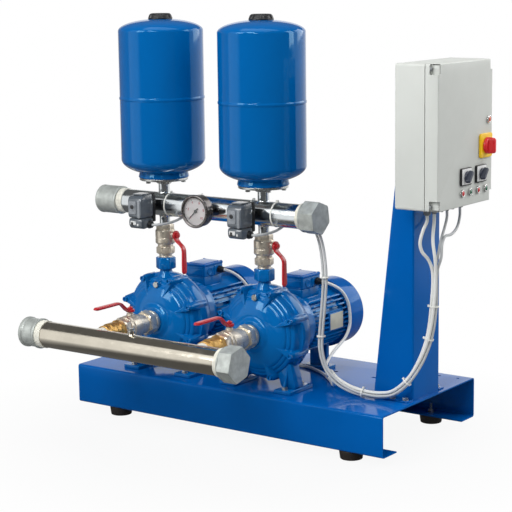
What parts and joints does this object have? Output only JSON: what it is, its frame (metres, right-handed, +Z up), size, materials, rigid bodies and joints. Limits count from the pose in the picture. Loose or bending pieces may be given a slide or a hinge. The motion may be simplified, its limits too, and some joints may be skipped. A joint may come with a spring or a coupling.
{
  "type": "booster pump set",
  "caption": "Water booster set: motor pumps on a folded base with suction and delivery manifolds, ball and check valves, membrane tanks, gauge, pressure switches and a control panel on a post.",
  "frame": {"origin": "middle of the overall box on the floor under the rubber feet", "axes": "+X along the manifolds from their open sockets to the control panel, +Y from the suction side to the motors, +Z up"},
  "size_m": [1.3602, 0.9046, 1.3147],
  "materials": {
    "blue_paint": "glossy blue coat on sheet and castings",
    "rubber": "matt black rubber",
    "zinc": "bright zinc plate",
    "pipe_steel": "polished steel",
    "galvanised": "matt galvanised",
    "nickel": "nickel-plated brass",
    "brass": "turned brass",
    "red_lever": "red dipped sleeve",
    "black_plastic": "black moulded plastic",
    "pale_seal": "pale thread seal",
    "plate": "bare satin plate",
    "cover": "smoked grey moulding",
    "gauge": "polished stainless case with white dial",
    "lens": "clear lens",
    "pointer": "black pointer",
    "panel_grey": "pale grey moulding",
    "gear": "grey switchgear on a steel plate",
    "gland_grey": "grey plastic",
    "lamp": "red and green lenses",
    "yellow": "yellow plate",
    "knob_red": "red handle",
    "selector_plate": "silver white plate",
    "slate": "slate knob",
    "inner_steel": "machined steel",
    "cable_white": "white sheath",
    "cable_grey": "grey sheath",
    "tie": "white nylon"
  },
  "bodies": {
    "frame": {"base_frame": "blue_paint", "rubber_feet": "rubber", "foot_studs": "zinc", "panel_post": "blue_paint", "base_bolts": "zinc", "pump_casing_1": "blue_paint", "pump_casing_2": "blue_paint", "pump_lanterns": "blue_paint", "casing_screws": "blue_paint", "vent_plugs": "zinc", "motor_bodies": "blue_paint", "terminal_boxes": "blue_paint", "terminal_lids": "blue_paint", "motor_glands": "black_plastic", "fan_cowls": "blue_paint", "rating_plates": "plate", "suction_manifold": "pipe_steel", "delivery_manifold": "pipe_steel", "suction_coupling": "galvanised", "delivery_coupling": "galvanised", "manifold_caps": "galvanised", "thread_sleeves": "pale_seal", "suction_valves": "nickel", "delivery_valves": "nickel", "valve_unions": "nickel", "check_valves": "brass", "tank_shells": "blue_paint", "tank_flanges": "galvanised", "tank_caps": "black_plastic", "switch_bodies": "cover", "switch_covers": "cover", "gauge_case": "gauge", "gauge_lens": "lens", "panel_box": "panel_grey", "panel_gear": "gear", "panel_glands": "gland_grey", "cables_motor": "cable_white", "cables_switch": "cable_grey", "cable_ties": "tie"},
    "door": {"panel_door": "panel_grey", "door_lamps": "lamp", "switch_plate": "yellow", "selector_plates": "selector_plate"},
    "main_handle": {"main_knob": "knob_red"},
    "selector_a": {"selector_knob_1": "slate"},
    "selector_b": {"selector_knob_2": "slate"},
    "suction_handle_1": {"suction_lever_1": "red_lever", "suction_ball_1": "inner_steel"},
    "suction_handle_2": {"suction_lever_2": "red_lever", "suction_ball_2": "inner_steel"},
    "delivery_handle_1": {"delivery_lever_1": "red_lever", "delivery_ball_1": "inner_steel"},
    "delivery_handle_2": {"delivery_lever_2": "red_lever", "delivery_ball_2": "inner_steel"},
    "pump_rotor_1": {"rotor_1": "inner_steel"},
    "pump_rotor_2": {"rotor_2": "inner_steel"},
    "valve_disc_1": {"check_disc_1": "inner_steel"},
    "valve_disc_2": {"check_disc_2": "inner_steel"},
    "pointer": {"gauge_pointer": "pointer"}
  },
  "joints": [
    {"name": "suction_valve_1", "type": "hinge", "parent": "frame", "child": "suction_handle_1", "pos_m": [-0.38215, -0.17771, 0.382], "axis": [0, 0, 1], "range_deg": [0, 90]},
    {"name": "suction_valve_2", "type": "hinge", "parent": "frame", "child": "suction_handle_2", "pos_m": [0.01185, -0.17771, 0.382], "axis": [0, 0, 1], "range_deg": [0, 90]},
    {"name": "delivery_valve_1", "type": "hinge", "parent": "frame", "child": "delivery_handle_1", "pos_m": [-0.34215, 0.0063, 0.606], "axis": [1, 0, 0], "range_deg": [-90, 0]},
    {"name": "delivery_valve_2", "type": "hinge", "parent": "frame", "child": "delivery_handle_2", "pos_m": [0.05185, 0.0063, 0.606], "axis": [1, 0, 0], "range_deg": [-90, 0]},
    {"name": "rotor_spin_1", "type": "hinge", "parent": "frame", "child": "pump_rotor_1", "pos_m": [-0.38215, 0.19629, 0.332], "axis": [0, 1, 0], "continuous": true},
    {"name": "rotor_spin_2", "type": "hinge", "parent": "frame", "child": "pump_rotor_2", "pos_m": [0.01185, 0.19629, 0.332], "axis": [0, 1, 0], "continuous": true},
    {"name": "check_slide_1", "type": "slide", "parent": "frame", "child": "valve_disc_1", "axis": [0, 1, 0], "range_m": [0, 0.014], "stiffness_N_per_m": 250, "springref_m": -0.006},
    {"name": "check_slide_2", "type": "slide", "parent": "frame", "child": "valve_disc_2", "axis": [0, 1, 0], "range_m": [0, 0.014], "stiffness_N_per_m": 250, "springref_m": -0.006},
    {"name": "gauge_turn", "type": "hinge", "parent": "frame", "child": "pointer", "pos_m": [-0.19315, -0.07371, 0.705], "axis": [0, 1, 0], "range_deg": [0, 270], "stiffness_Nm_per_rad": 0.002},
    {"name": "door_hinge", "type": "hinge", "parent": "frame", "child": "door", "pos_m": [0.59285, 0.32079, 0.956], "axis": [0, 0, 1], "range_deg": [0, 110]},
    {"name": "main_switch", "type": "hinge", "parent": "door", "child": "main_handle", "pos_m": [0.64415, 0.2678, 0.924], "axis": [1, 0, 0], "range_deg": [0, 90]},
    {"name": "selector_turn_a", "type": "hinge", "parent": "door", "child": "selector_a", "pos_m": [0.64015, 0.1488, 0.843], "axis": [1, 0, 0], "range_deg": [-45, 45]},
    {"name": "selector_turn_b", "type": "hinge", "parent": "door", "child": "selector_b", "pos_m": [0.64015, 0.2398, 0.843], "axis": [1, 0, 0], "range_deg": [-45, 45]}
  ]
}
